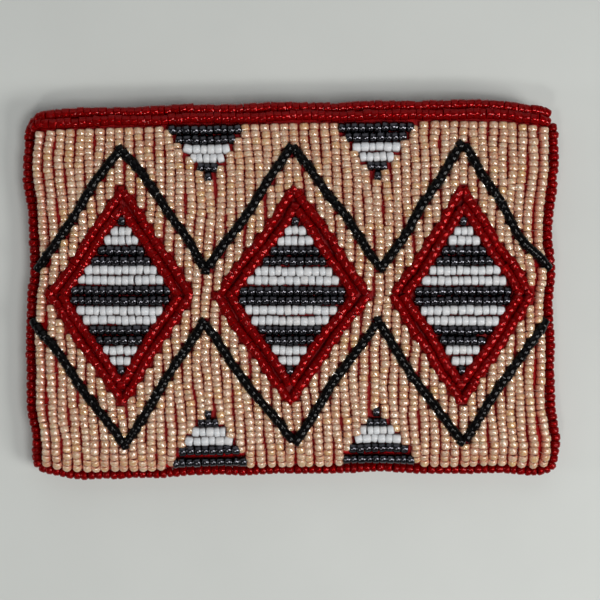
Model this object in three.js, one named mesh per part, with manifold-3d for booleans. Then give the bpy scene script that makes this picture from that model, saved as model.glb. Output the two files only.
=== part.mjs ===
// A beaded coin purse, lying on its back with its mouth towards +Y.
// Two cloth panels meet in a seam round the sides and the bottom, and leave a pocket between them
// that a zip closes. Strings of seed beads, sewn side by side, cover the front panel and edge it:
// each motif of the beadwork is one solid, as thick as its beads.
// Millimetres, +Z up. The origin lies under the middle of the purse, on the surface it lies on.

import * as THREE from "three";
import { mergeVertices } from "three/addons/utils/BufferGeometryUtils.js";
import Module from "manifold-3d";

const wasm = await Module();
wasm.setup();
const { clamp, degToRad, smoothstep } = THREE.MathUtils;

// Driving dimensions
const PURSE_WIDTH = 120; // over the edge beads
const PURSE_HEIGHT = 84.5; // over the edge beads, from the bottom to the mouth
const BEAD_DIAMETER = 2.1;
const ROW_PITCH = 2.2; // from one string of beads to the next
const CLOTH = 1.2; // thickness of a panel
const GAP = 0.3; // between pieces that touch on the real purse

// Form of the pouch
const FRONT_BASE = 2.4; // level of the centres about which the front panel's edges roll over
const FRONT_ROLL = 5.2; // radius at which the front panel rolls over to the seam
const BACK_ROLL = 2.5; // radius at which the back panel turns up to the seam
const SEAM_ANGLE = degToRad(80); // slope of both panels at the seam
const LIP_ANGLE = degToRad(35); // slope of the front panel at the mouth, under the string that edges it
const EDGING_ANGLE = degToRad(62); // slope of the front panel under the strings that edge its seams
const FIELD_ANGLE = degToRad(42); // slope at which the rest of the beadwork stops, short of those strings
const CORNER_TURN = 1.5; // radius at which a string of edge beads turns round a corner
const CORNER_FREE = 1.6; // how far two strings stop short of the corner where neither turns
const SWELL = 1.0; // how far the middle of the front stands above its edge
const SWAY = 0.7; // sideways wander of the strings of beads
const SWAY_LENGTH = 56; // one wave of that wander, up the purse
const SWAY_SPREAD = 31; // how far across the purse the wave shifts by one radian
const PULL_START = 0.5; // share of the way to an edge at which its pull sets in

// How far the sides pull in, at each height up the purse from bottom (-1) to mouth (1)
const SIDE_PULL = [
  { up: -1.0, left: 1.5, right: 0.4 },
  { up: -0.86, left: 1.6, right: 0.0 },
  { up: -0.6, left: 0.5, right: 1.2 },
  { up: -0.25, left: 0.4, right: 1.4 },
  { up: -0.05, left: 0.8, right: 1.9 },
  { up: 0.1, left: 1.3, right: 1.2 },
  { up: 0.3, left: 1.3, right: 2.1 },
  { up: 0.7, left: 0.0, right: 0.8 },
  { up: 1.0, left: 0.6, right: 1.0 },
];

// How far the bottom and the mouth pull in, at each place across from left (-1) to right (1);
// the steep ends are the cut corners
const END_PULL = [
  { across: -1.0, bottom: 1.6, mouth: 4.6 },
  { across: -0.95, bottom: 0.8, mouth: 2.2 },
  { across: -0.85, bottom: 0.0, mouth: 1.9 },
  { across: -0.6, bottom: 0.1, mouth: 1.5 },
  { across: -0.35, bottom: 0.9, mouth: 1.0 },
  { across: 0.1, bottom: 1.2, mouth: 0.5 },
  { across: 0.35, bottom: 1.6, mouth: 0.3 },
  { across: 0.55, bottom: 1.1, mouth: 0.0 },
  { across: 0.8, bottom: 1.4, mouth: 0.1 },
  { across: 0.93, bottom: 0.7, mouth: 0.9 },
  { across: 1.0, bottom: 1.2, mouth: 2.0 },
];

// Shallow dents in the front, each a round hollow
const DENTS = [
  { across: -0.92, up: 0.22, reach: 13, depth: 0.7 },
  { across: 0.94, up: 0.22, reach: 12, depth: 0.6 },
  { across: 0.95, up: -0.35, reach: 14, depth: 0.6 },
  { across: 0.25, up: -0.98, reach: 17, depth: 0.6 },
  { across: -0.3, up: 0.12, reach: 20, depth: 0.4 },
  { across: 0.45, up: -0.3, reach: 22, depth: 0.3 },
];

// Beadwork motifs
const DIAMOND_NAMES = ["left", "middle", "right"];
const DIAMOND_SPACE = 3.0; // between the points of neighbouring diamonds
const DIAMOND_HALF_HEIGHT = 25.5;
const OUTLINE_ROWS = 2; // strings in a diamond's outline
const RING_ROWS = 1.5; // ground between a diamond and the zigzag
const TRIANGLE_ROWS = 6; // strings in a border triangle
const TRIANGLE_SLOPE = 0.68; // half width of a border triangle for each millimetre of its height
const MOUTH_ROWS = 1; // strings along the mouth, inside the one that edges it

// Zip
const ZIP_LENGTH = 94;
const ZIP_TAPE = 0.9;
const ZIP_RECESS = 1.8; // from the mouth's edge to the middle of the tape
const ZIP_CHAIN = { width: 1.8, thickness: 1.7 };
const ZIP_SLIDER = { length: 6, width: 3.2, thickness: 2.2, fromEnd: 9 };
const ZIP_PULL = { length: 11, width: 2.4, thickness: 0.7 };

// Meshing
const FLAT_STEPS_ACROSS = 12;
const FLAT_STEPS_UP = 9;
const SEAM_STEPS = 4;
const LIP_STEPS = 3;
const FIELD_STEPS = 2;
const ZIP_STEP = 7; // longest stretch of the zip that stays straight
const OUTLINE_STEP = 7; // longest stretch of a motif's outline that stays straight
const EDGING_SIDES = 8;
const EDGING_STEP = 1.45 * BEAD_DIAMETER;
const TURN_STEPS = 4;
const PRISM_HEIGHT = 15; // taller than the purse is thick

// Sizes that follow
const BEAD_RADIUS = BEAD_DIAMETER / 2;
const MID_LAYER = GAP + BEAD_RADIUS; // from the front panel to the middle of the bead layer
const EDGE_REACH = FRONT_ROLL + MID_LAYER; // from a roll's centre to the middle of the bead layer
const FRONT_FLAT_X = PURSE_WIDTH / 2 - BEAD_RADIUS - EDGE_REACH * Math.sin(EDGING_ANGLE);
const FRONT_FLAT_LOW = -(PURSE_HEIGHT / 2 - BEAD_RADIUS - EDGE_REACH * Math.sin(EDGING_ANGLE));
const FRONT_FLAT_HIGH = PURSE_HEIGHT / 2 - BEAD_RADIUS - EDGE_REACH * Math.sin(LIP_ANGLE);
const RIM_X = FRONT_FLAT_X + FRONT_ROLL * Math.sin(SEAM_ANGLE);
const RIM_Y = -FRONT_FLAT_LOW + FRONT_ROLL * Math.sin(SEAM_ANGLE);
const BACK_FLAT_X = RIM_X - BACK_ROLL * Math.sin(SEAM_ANGLE);
const BACK_FLAT_LOW = -(RIM_Y - BACK_ROLL * Math.sin(SEAM_ANGLE));

// Places along the front panel's cloth, from its middle
const SEAM_P = FRONT_FLAT_X + FRONT_ROLL * SEAM_ANGLE;
const SEAM_Q = FRONT_FLAT_LOW - FRONT_ROLL * SEAM_ANGLE;
const LIP_Q = FRONT_FLAT_HIGH + FRONT_ROLL * LIP_ANGLE;
const EDGE_P = FRONT_FLAT_X + FRONT_ROLL * EDGING_ANGLE;
const EDGE_Q = FRONT_FLAT_LOW - FRONT_ROLL * EDGING_ANGLE;
const ROLLED = FRONT_ROLL / EDGE_REACH; // cloth under each millimetre of beads where it rolls over
const MOUTH_HIGH = LIP_Q - (BEAD_RADIUS + GAP) * ROLLED; // the mouth row's upper side
const FIELD_P = FRONT_FLAT_X + FRONT_ROLL * FIELD_ANGLE;
const FIELD_LOW = FRONT_FLAT_LOW - FRONT_ROLL * FIELD_ANGLE;
const FIELD_HIGH = MOUTH_HIGH - MOUTH_ROWS * ROW_PITCH * ROLLED - GAP;
const FIELD_MIDDLE = (FIELD_LOW + FIELD_HIGH) / 2;
const DIAMOND_PITCH = (2 * FIELD_P) / DIAMOND_NAMES.length;
const DIAMOND_HALF_WIDTH = (DIAMOND_PITCH - DIAMOND_SPACE) / 2;
const DIAMOND_SIDE = Math.hypot(DIAMOND_HALF_WIDTH, DIAMOND_HALF_HEIGHT);
const ZIGZAG_IN = RING_ROWS * ROW_PITCH;
const ZIGZAG_OUT = ZIGZAG_IN + ROW_PITCH;

// Finishes
const RED_CLOTH = { color: 0x8c0a0c, roughness: 0.85, metalness: 0 };
const ZIP_TAPE_RED = { color: 0x6a0a0c, roughness: 0.7, metalness: 0 };
const RED_BEADS = { color: 0x7a0509, roughness: 0.2, metalness: 0.4 };
const TAN_BEADS = { color: 0xb98d72, roughness: 0.25, metalness: 0.1 };
const STRIPE_BEADS = { color: 0x3a3b40, roughness: 0.25, metalness: 0.6 };
const BLACK_BEADS = { color: 0x0b0a0b, roughness: 0.2, metalness: 0 };

// Reads a column of a table between its rows, easing from one row to the next.
function readTable(table, key, at, column) {
  const next = table.findIndex((row) => row[key] >= at);
  if (next === 0) return table[0][column];
  if (next < 0) return table.at(-1)[column];
  const [below, above] = [table[next - 1], table[next]];
  return below[column] + (above[column] - below[column]) * smoothstep(at, below[key], above[key]);
}

// A distance along the cloth becomes a place in plan and a height as a share of the roll's radius:
// flat between low and high, round an arc beyond them, and straight on past the seam's slope.
function rollOver(along, low, high, radius) {
  const past = along - clamp(along, low, high);
  const angle = clamp(past / radius, -SEAM_ANGLE, SEAM_ANGLE);
  const rest = past - radius * angle;
  return {
    plan: along - past + radius * Math.sin(angle) + rest * Math.cos(angle),
    level: Math.cos(angle) - Math.abs(rest / radius) * Math.sin(SEAM_ANGLE),
  };
}

// Where a point of the even plan lies once the edges are pulled in and the strings wander.
function settle(x, y) {
  const [u, v] = [x / RIM_X, y / RIM_Y];
  const side = readTable(SIDE_PULL, "up", v, x < 0 ? "left" : "right");
  const end = readTable(END_PULL, "across", u, y < 0 ? "bottom" : "mouth");
  const wander = SWAY * Math.sin((2 * Math.PI * y) / SWAY_LENGTH + x / SWAY_SPREAD);
  const inside = Math.max(0, 1 - u * u);
  return [
    x - Math.sign(x) * side * smoothstep(Math.abs(u), PULL_START, 1) + wander * inside,
    y - Math.sign(y) * end * smoothstep(Math.abs(v), PULL_START, 1),
  ];
}

// Depth of the dents at a place in plan: a round bell of each dent's own reach.
function dentDepth(x, y) {
  return DENTS.reduce((sum, dent) => {
    const away = Math.hypot(x - dent.across * RIM_X, y - dent.up * RIM_Y) / dent.reach;
    return sum + dent.depth * Math.exp(-away * away);
  }, 0);
}

// A point of the front panel's outer face, p across and q up along the cloth.
function frontPoint(p, q) {
  const across = rollOver(p, -FRONT_FLAT_X, FRONT_FLAT_X, FRONT_ROLL);
  const up = rollOver(q, FRONT_FLAT_LOW, FRONT_FLAT_HIGH, FRONT_ROLL);
  const [x, y] = settle(across.plan, up.plan);
  const swell = SWELL * (1 - (across.plan / RIM_X) ** 2) * (1 - (up.plan / RIM_Y) ** 2);
  const dent = dentDepth(x, y) * across.level * up.level;
  return new THREE.Vector3(x, y, FRONT_BASE + FRONT_ROLL * across.level * up.level + swell - dent);
}

// A point of the back panel's outer face: flat on the surface below, turned up to the seam at its edges.
function backPoint(p, q) {
  const across = rollOver(p, -BACK_FLAT_X, BACK_FLAT_X, BACK_ROLL);
  const up = rollOver(q, BACK_FLAT_LOW, Infinity, BACK_ROLL);
  const [x, y] = settle(across.plan, up.plan);
  return new THREE.Vector3(x, y, BACK_ROLL * (1 - across.level * up.level));
}

// A point lifted off a surface along its upward normal.
function lifted(surface, p, q, lift) {
  const step = 0.05;
  const alongP = surface(p + step, q).sub(surface(p - step, q));
  const alongQ = surface(p, q + step).sub(surface(p, q - step));
  return surface(p, q).addScaledVector(alongP.cross(alongQ).normalize(), lift);
}

// Even stops from low to high, without the last.
function evenStops(low, high, steps) {
  return Array.from({ length: steps }, (_, i) => low + ((high - low) * i) / steps);
}

// A closed layer between two lifts off a surface, on a grid of stops along the cloth.
function layer(surface, pStops, qStops, under, over) {
  const columns = pStops.length;
  const sheet = columns * qStops.length;
  const points = [over, under].flatMap((lift) =>
    qStops.flatMap((q) => pStops.map((p) => lifted(surface, p, q, lift))),
  );
  const index = [];
  const quad = (a, b, c, d) => index.push(a, b, c, a, c, d);
  for (let row = 0; row < qStops.length - 1; row++) {
    for (let column = 0; column < columns - 1; column++) {
      const a = row * columns + column;
      const b = a + columns;
      quad(a, a + 1, b + 1, b);
      quad(sheet + a, sheet + b, sheet + b + 1, sheet + a + 1);
    }
  }
  const last = sheet - columns;
  const rim = [
    ...evenStops(0, columns - 1, columns - 1),
    ...evenStops(columns - 1, sheet - 1, qStops.length - 1),
    ...evenStops(sheet - 1, last, columns - 1),
    ...evenStops(last, 0, qStops.length - 1),
  ].map(Math.round);
  rim.forEach((a, i) => {
    const b = rim[(i + 1) % rim.length];
    quad(sheet + a, sheet + b, b, a);
  });
  return new THREE.BufferGeometry().setFromPoints(points).setIndex(index);
}

// A geometry as a solid for joining and cutting, and a solid as a geometry.
function solidOf(geometry) {
  const bare = new THREE.BufferGeometry()
    .setAttribute("position", geometry.getAttribute("position"))
    .setIndex(geometry.index);
  const merged = mergeVertices(bare);
  return new wasm.Manifold(
    new wasm.Mesh({
      numProp: 3,
      vertProperties: merged.attributes.position.array,
      triVerts: new Uint32Array(merged.index.array),
    }),
  );
}

function geometryOf(solid) {
  const mesh = solid.getMesh();
  return new THREE.BufferGeometry()
    .setAttribute("position", new THREE.BufferAttribute(mesh.vertProperties, 3))
    .setIndex(new THREE.BufferAttribute(mesh.triVerts, 1));
}

// An upright prism over an outline whose corners are given along the front panel's cloth.
function prism(corners) {
  const outline = corners.flatMap(([p, q], i) => {
    const [endP, endQ] = corners[(i + 1) % corners.length];
    const steps = Math.ceil(Math.hypot(endP - p, endQ - q) / OUTLINE_STEP);
    return evenStops(0, 1, steps).map((share) => {
      const place = lifted(frontPoint, p + share * (endP - p), q + share * (endQ - q), MID_LAYER);
      return new THREE.Vector2(place.x, place.y);
    });
  });
  const shape = new THREE.Shape(outline);
  return solidOf(new THREE.ExtrudeGeometry(shape, { depth: PRISM_HEIGHT, bevelEnabled: false }));
}

// A prism over a diamond whose sides lie a distance outside the outline's outer edge.
function diamondPrism(centre, outside) {
  const halfWidth = DIAMOND_HALF_WIDTH + (outside * DIAMOND_SIDE) / DIAMOND_HALF_HEIGHT;
  const halfHeight = DIAMOND_HALF_HEIGHT + (outside * DIAMOND_SIDE) / DIAMOND_HALF_WIDTH;
  return prism([
    [centre + halfWidth, FIELD_MIDDLE],
    [centre, FIELD_MIDDLE + halfHeight],
    [centre - halfWidth, FIELD_MIDDLE],
    [centre, FIELD_MIDDLE - halfHeight],
  ]);
}

// A prism over a border triangle that stands on the field's upper (1) or lower (-1) edge and runs on
// past it, its sides a distance outside the triangle's own.
function trianglePrism(centre, side, outside) {
  const base = side > 0 ? FIELD_HIGH : FIELD_LOW;
  const height = TRIANGLE_ROWS * ROW_PITCH + outside * Math.hypot(1, 1 / TRIANGLE_SLOPE);
  const tip = base - side * height;
  const reach = side * (height + PRISM_HEIGHT);
  return prism([
    [centre, tip],
    [centre + reach * TRIANGLE_SLOPE, tip + reach],
    [centre - reach * TRIANGLE_SLOPE, tip + reach],
  ]);
}

// The whole bead layer of the front, which the motifs are cut from.
function beadLayer(pStops, qStops) {
  return layer(frontPoint, pStops, qStops, GAP, GAP + BEAD_DIAMETER);
}

const fieldStops = {
  p: [
    ...evenStops(-FIELD_P, -FRONT_FLAT_X, FIELD_STEPS),
    ...evenStops(-FRONT_FLAT_X, FRONT_FLAT_X, FLAT_STEPS_ACROSS),
    ...evenStops(FRONT_FLAT_X, FIELD_P, FIELD_STEPS),
    FIELD_P,
  ],
  q: [
    ...evenStops(FIELD_LOW, FRONT_FLAT_LOW, FIELD_STEPS),
    ...evenStops(FRONT_FLAT_LOW, FIELD_HIGH, FLAT_STEPS_UP),
    FIELD_HIGH,
  ],
};
const field = solidOf(beadLayer(fieldStops.p, fieldStops.q));
const diamondCentres = DIAMOND_NAMES.map((_, i) => (i - (DIAMOND_NAMES.length - 1) / 2) * DIAMOND_PITCH);
const valleyCentres = { left: -DIAMOND_PITCH / 2, right: DIAMOND_PITCH / 2 };
const halves = { upper: 1, lower: -1 };

// All three diamonds joined, grown by a distance.
function diamondRow(outside) {
  return diamondCentres.map((c) => diamondPrism(c, outside)).reduce((all, one) => all.add(one));
}

// The half of the face above (1) or below (-1) the middle of the field.
function halfPrism(side) {
  const far = FIELD_MIDDLE + side * PURSE_HEIGHT;
  return prism([
    [-PURSE_WIDTH * side, FIELD_MIDDLE],
    [PURSE_WIDTH * side, FIELD_MIDDLE],
    [PURSE_WIDTH * side, far],
    [-PURSE_WIDTH * side, far],
  ]);
}

const purse = new THREE.Group();

// Adds a piece to the purse under its own name, with a material of its own.
function addPiece(name, geometry, finish) {
  const mesh = new THREE.Mesh(geometry, new THREE.MeshStandardMaterial(finish));
  mesh.name = name;
  purse.add(mesh);
  return mesh;
}

// The two panels of the pouch.
function addPanels() {
  const seamAcross = [
    ...evenStops(-SEAM_P, -FRONT_FLAT_X, SEAM_STEPS),
    ...evenStops(-FRONT_FLAT_X, FRONT_FLAT_X, FLAT_STEPS_ACROSS),
    ...evenStops(FRONT_FLAT_X, SEAM_P, SEAM_STEPS),
    SEAM_P,
  ];
  const seamToLip = [
    ...evenStops(SEAM_Q, FRONT_FLAT_LOW, SEAM_STEPS),
    ...evenStops(FRONT_FLAT_LOW, FRONT_FLAT_HIGH, FLAT_STEPS_UP),
    ...evenStops(FRONT_FLAT_HIGH, LIP_Q, LIP_STEPS),
    LIP_Q,
  ];
  addPiece("front_cloth", layer(frontPoint, seamAcross, seamToLip, -CLOTH, 0), RED_CLOTH);

  const backP = BACK_FLAT_X + BACK_ROLL * SEAM_ANGLE;
  const backLow = BACK_FLAT_LOW - BACK_ROLL * SEAM_ANGLE;
  const backAcross = [
    ...evenStops(-backP, -BACK_FLAT_X, LIP_STEPS),
    ...evenStops(-BACK_FLAT_X, BACK_FLAT_X, FLAT_STEPS_ACROSS),
    ...evenStops(BACK_FLAT_X, backP, LIP_STEPS),
    backP,
  ];
  const backUp = [
    ...evenStops(backLow, BACK_FLAT_LOW, LIP_STEPS),
    ...evenStops(BACK_FLAT_LOW, RIM_Y, FLAT_STEPS_UP),
    RIM_Y,
  ];
  addPiece("back_cloth", layer(backPoint, backAcross, backUp, 0, CLOTH), RED_CLOTH);
}

// Bends a straight piece of the zip so that it follows the pull of the mouth.
function followMouth(geometry, level) {
  const places = geometry.getAttribute("position");
  for (let i = 0; i < places.count; i++) {
    const shift = settle(places.getX(i), level)[1] - level;
    places.setY(i, places.getY(i) + shift);
  }
  return geometry;
}

// The closed zip across the mouth: tape, chain, slider and pull as one plain piece.
function addZip() {
  const floor = CLOTH + GAP;
  const recess = FRONT_FLAT_HIGH + FRONT_ROLL * Math.sin(LIP_ANGLE) - ZIP_RECESS;
  const underside = (FRONT_ROLL - CLOTH) ** 2 - (recess + ZIP_TAPE / 2 - FRONT_FLAT_HIGH) ** 2;
  const ceiling = FRONT_BASE + Math.sqrt(underside) - 2 * GAP;
  const slab = (length, width, thickness, along, outward) => {
    const box = new THREE.BoxGeometry(length, thickness, width, Math.ceil(length / ZIP_STEP));
    return solidOf(followMouth(box.translate(along, outward, 0), recess));
  };
  const sliderAt = ZIP_LENGTH / 2 - ZIP_SLIDER.fromEnd;
  const pullAt = sliderAt - ZIP_PULL.length / 2;
  const pullOut = (ZIP_SLIDER.thickness + ZIP_PULL.thickness) / 2 - GAP;
  const zip = slab(ZIP_LENGTH, ceiling - floor, ZIP_TAPE, 0, 0)
    .add(slab(ZIP_LENGTH - 2 * ZIP_TAPE, ZIP_CHAIN.width, ZIP_CHAIN.thickness, 0, 0))
    .add(slab(ZIP_SLIDER.length, ZIP_SLIDER.width, ZIP_SLIDER.thickness, sliderAt, 0))
    .add(slab(ZIP_PULL.length, ZIP_PULL.width, ZIP_PULL.thickness, pullAt, pullOut));
  const mesh = addPiece("zip", geometryOf(zip), ZIP_TAPE_RED);
  mesh.position.set(0, recess, (floor + ceiling) / 2);
}

// The tan ground, in three pieces that the zigzags part, and the border triangles let into it.
function addGround() {
  const ring = diamondRow(ZIGZAG_IN - GAP / 2).subtract(diamondRow(GAP / 2));
  addPiece("ground_middle", geometryOf(field.intersect(ring)), TAN_BEADS);
  const outside = field.subtract(diamondRow(ZIGZAG_OUT + GAP / 2));
  for (const [half, side] of Object.entries(halves)) {
    let ground = outside.intersect(halfPrism(side));
    for (const [name, centre] of Object.entries(valleyCentres)) {
      const triangle = field.intersect(trianglePrism(centre, side, -GAP / 2));
      addPiece(`triangle_${half}_${name}`, geometryOf(triangle), STRIPE_BEADS);
      ground = ground.subtract(trianglePrism(centre, side, GAP / 2));
    }
    addPiece(`ground_${half}`, geometryOf(ground), TAN_BEADS);
  }
}

// The black zigzags above and below the diamonds.
function addZigzags() {
  const lines = diamondRow(ZIGZAG_OUT - GAP / 2).subtract(diamondRow(ZIGZAG_IN + GAP / 2));
  for (const [half, side] of Object.entries(halves)) {
    const line = field.intersect(lines).intersect(halfPrism(side));
    addPiece(`zigzag_${half}`, geometryOf(line), BLACK_BEADS);
  }
}

// Each diamond's red outline and the striped rows inside it.
function addDiamonds() {
  const inner = -OUTLINE_ROWS * ROW_PITCH;
  DIAMOND_NAMES.forEach((name, i) => {
    const hole = diamondPrism(diamondCentres[i], inner + GAP / 2);
    const outline = field.intersect(diamondPrism(diamondCentres[i], -GAP / 2)).subtract(hole);
    const stripes = field.intersect(diamondPrism(diamondCentres[i], inner - GAP / 2));
    addPiece(`diamond_${name}_outline`, geometryOf(outline), RED_BEADS);
    addPiece(`diamond_${name}_stripes`, geometryOf(stripes), STRIPE_BEADS);
  });
}

// The red row along the mouth.
function addMouthRows() {
  const stops = [...evenStops(FIELD_HIGH + GAP, MOUTH_HIGH, LIP_STEPS), MOUTH_HIGH];
  addPiece("mouth_rows", beadLayer(fieldStops.p, stops), RED_BEADS);
}

// A round string of edge beads along a path.
function edging(points) {
  const path = new THREE.CatmullRomCurve3(points);
  const corner = (2 * Math.PI) / EDGING_SIDES;
  const section = new THREE.Shape(
    Array.from({ length: EDGING_SIDES }, (_, i) =>
      new THREE.Vector2(Math.cos(i * corner), Math.sin(i * corner)).multiplyScalar(BEAD_RADIUS),
    ),
  );
  const steps = Math.ceil(path.getLength() / EDGING_STEP);
  return new THREE.ExtrudeGeometry(section, { steps, extrudePath: path });
}

// Places p, q of a quarter turn from the left (-1) or right (1) seam into a string that runs across the
// cloth at q, upward (1) or downward (-1) from it, without the last.
function cornerTurn(side, q, upward) {
  return evenStops(0, Math.PI / 2, TURN_STEPS).map((angle) => [
    side * (EDGE_P - CORNER_TURN * (1 - Math.cos(angle))),
    q + upward * CORNER_TURN * (1 - Math.sin(angle)),
  ]);
}

// The four strings of edge beads, on the front panel: one by each seam and one along the mouth. The
// bottom's turns up round both corners, and the mouth's turns down round the left one.
function addEdging() {
  const stops = (low, high) => [...evenStops(low, high, Math.round((high - low) / BEAD_DIAMETER)), high];
  const across = (q, free) => stops(-EDGE_P + CORNER_TURN, EDGE_P - free).map((p) => [p, q]);
  const up = (p, free) => stops(EDGE_Q + CORNER_TURN + GAP, LIP_Q - free).map((q) => [p, q]);
  const strings = {
    left: up(-EDGE_P, CORNER_TURN + GAP),
    right: up(EDGE_P, CORNER_FREE),
    bottom: [
      ...cornerTurn(-1, EDGE_Q, 1),
      ...across(EDGE_Q, CORNER_TURN),
      ...cornerTurn(1, EDGE_Q, 1).reverse(),
    ],
    mouth: [...cornerTurn(-1, LIP_Q, -1), ...across(LIP_Q, CORNER_FREE)],
  };
  for (const [name, places] of Object.entries(strings)) {
    const points = places.map(([p, q]) => lifted(frontPoint, p, q, MID_LAYER));
    addPiece(`${name}_edging`, edging(points), RED_BEADS);
  }
}

addPanels();
addZip();
addGround();
addZigzags();
addDiamonds();
addMouthRows();
addEdging();

export default purse;
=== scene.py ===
"""A beaded coin purse lying on its back: cloth panels, strings of seed beads, threads and a zip."""

import math

import bpy
import numpy as np
from mathutils import Matrix


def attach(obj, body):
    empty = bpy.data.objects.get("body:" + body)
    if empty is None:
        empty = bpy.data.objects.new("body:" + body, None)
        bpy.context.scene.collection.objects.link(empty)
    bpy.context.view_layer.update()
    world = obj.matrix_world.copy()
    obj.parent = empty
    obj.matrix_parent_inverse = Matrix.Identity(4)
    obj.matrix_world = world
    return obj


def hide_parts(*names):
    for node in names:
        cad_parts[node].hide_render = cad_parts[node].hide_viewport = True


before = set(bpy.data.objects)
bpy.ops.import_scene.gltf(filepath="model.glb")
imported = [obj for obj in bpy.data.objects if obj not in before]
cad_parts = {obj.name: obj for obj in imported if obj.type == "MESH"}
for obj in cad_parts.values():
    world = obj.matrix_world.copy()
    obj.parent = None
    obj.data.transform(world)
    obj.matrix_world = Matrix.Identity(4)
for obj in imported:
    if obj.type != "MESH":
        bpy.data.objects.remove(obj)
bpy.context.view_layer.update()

RNG = np.random.default_rng(41)
MM = 0.001

# Sizes in millimetres, as in the part's own source
PURSE_WIDTH, PURSE_HEIGHT = 120.0, 84.5
BEAD_DIAMETER, ROW_PITCH, CLOTH, GAP = 2.1, 2.2, 1.2, 0.3
FRONT_BASE, FRONT_ROLL, BACK_ROLL = 2.4, 5.2, 2.5
SEAM_ANGLE, LIP_ANGLE, EDGING_ANGLE, FIELD_ANGLE = np.radians([80.0, 35.0, 62.0, 42.0])
CORNER_TURN, CORNER_FREE = 1.5, 1.6
SWELL, SWAY, SWAY_LENGTH, SWAY_SPREAD = 1.0, 0.7, 56.0, 31.0
PULL_START = 0.5

# How far the sides pull in at each height, and the bottom and mouth at each place across
SIDE_PULL = {
    "up": (-1.0, -0.86, -0.6, -0.25, -0.05, 0.1, 0.3, 0.7, 1.0),
    "left": (1.5, 1.6, 0.5, 0.4, 0.8, 1.3, 1.3, 0.0, 0.6),
    "right": (0.4, 0.0, 1.2, 1.4, 1.9, 1.2, 2.1, 0.8, 1.0),
}
END_PULL = {
    "across": (-1.0, -0.95, -0.85, -0.6, -0.35, 0.1, 0.35, 0.55, 0.8, 0.93, 1.0),
    "bottom": (1.6, 0.8, 0.0, 0.1, 0.9, 1.2, 1.6, 1.1, 1.4, 0.7, 1.2),
    "mouth": (4.6, 2.2, 1.9, 1.5, 1.0, 0.5, 0.3, 0.0, 0.1, 0.9, 2.0),
}
DENTS = {
    "across": (-0.92, 0.94, 0.95, 0.25, -0.3, 0.45),
    "up": (0.22, 0.22, -0.35, -0.98, 0.12, -0.3),
    "reach": (13.0, 12.0, 14.0, 17.0, 20.0, 22.0),
    "depth": (0.7, 0.6, 0.6, 0.6, 0.4, 0.3),
}

# Beadwork motifs
DIAMOND_NAMES = ("left", "middle", "right")
DIAMOND_SPACE, DIAMOND_HALF_HEIGHT = 3.0, 25.5
OUTLINE_ROWS, RING_ROWS, TRIANGLE_ROWS, MOUTH_ROWS = 2, 1.5, 6, 1
TRIANGLE_SLOPE = 0.68

# Sizes that follow, as in the part's own source
BEAD_RADIUS = BEAD_DIAMETER / 2
MID_LAYER = GAP + BEAD_RADIUS
EDGE_REACH = FRONT_ROLL + MID_LAYER
FRONT_FLAT_X = PURSE_WIDTH / 2 - BEAD_RADIUS - EDGE_REACH * math.sin(EDGING_ANGLE)
FRONT_FLAT_LOW = -(PURSE_HEIGHT / 2 - BEAD_RADIUS - EDGE_REACH * math.sin(EDGING_ANGLE))
FRONT_FLAT_HIGH = PURSE_HEIGHT / 2 - BEAD_RADIUS - EDGE_REACH * math.sin(LIP_ANGLE)
RIM_X = FRONT_FLAT_X + FRONT_ROLL * math.sin(SEAM_ANGLE)
RIM_Y = -FRONT_FLAT_LOW + FRONT_ROLL * math.sin(SEAM_ANGLE)
BACK_FLAT_X = RIM_X - BACK_ROLL * math.sin(SEAM_ANGLE)
BACK_FLAT_LOW = -(RIM_Y - BACK_ROLL * math.sin(SEAM_ANGLE))
SEAM_P = FRONT_FLAT_X + FRONT_ROLL * SEAM_ANGLE
SEAM_Q = FRONT_FLAT_LOW - FRONT_ROLL * SEAM_ANGLE
LIP_Q = FRONT_FLAT_HIGH + FRONT_ROLL * LIP_ANGLE
EDGE_P = FRONT_FLAT_X + FRONT_ROLL * EDGING_ANGLE
EDGE_Q = FRONT_FLAT_LOW - FRONT_ROLL * EDGING_ANGLE
ROLLED = FRONT_ROLL / EDGE_REACH
MOUTH_HIGH = LIP_Q - (BEAD_RADIUS + GAP) * ROLLED
FIELD_P = FRONT_FLAT_X + FRONT_ROLL * FIELD_ANGLE
FIELD_LOW = FRONT_FLAT_LOW - FRONT_ROLL * FIELD_ANGLE
FIELD_HIGH = MOUTH_HIGH - MOUTH_ROWS * ROW_PITCH * ROLLED - GAP
FIELD_MIDDLE = (FIELD_LOW + FIELD_HIGH) / 2
DIAMOND_PITCH = 2 * FIELD_P / len(DIAMOND_NAMES)
DIAMOND_HALF_WIDTH = (DIAMOND_PITCH - DIAMOND_SPACE) / 2
DIAMOND_SIDE = math.hypot(DIAMOND_HALF_WIDTH, DIAMOND_HALF_HEIGHT)
DIAMOND_CENTRES = (np.arange(len(DIAMOND_NAMES)) - 1) * DIAMOND_PITCH
ZIGZAG_IN = RING_ROWS * ROW_PITCH
ZIGZAG_OUT = ZIGZAG_IN + ROW_PITCH
VALLEYS = {"left": -DIAMOND_PITCH / 2, "right": DIAMOND_PITCH / 2}

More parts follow.
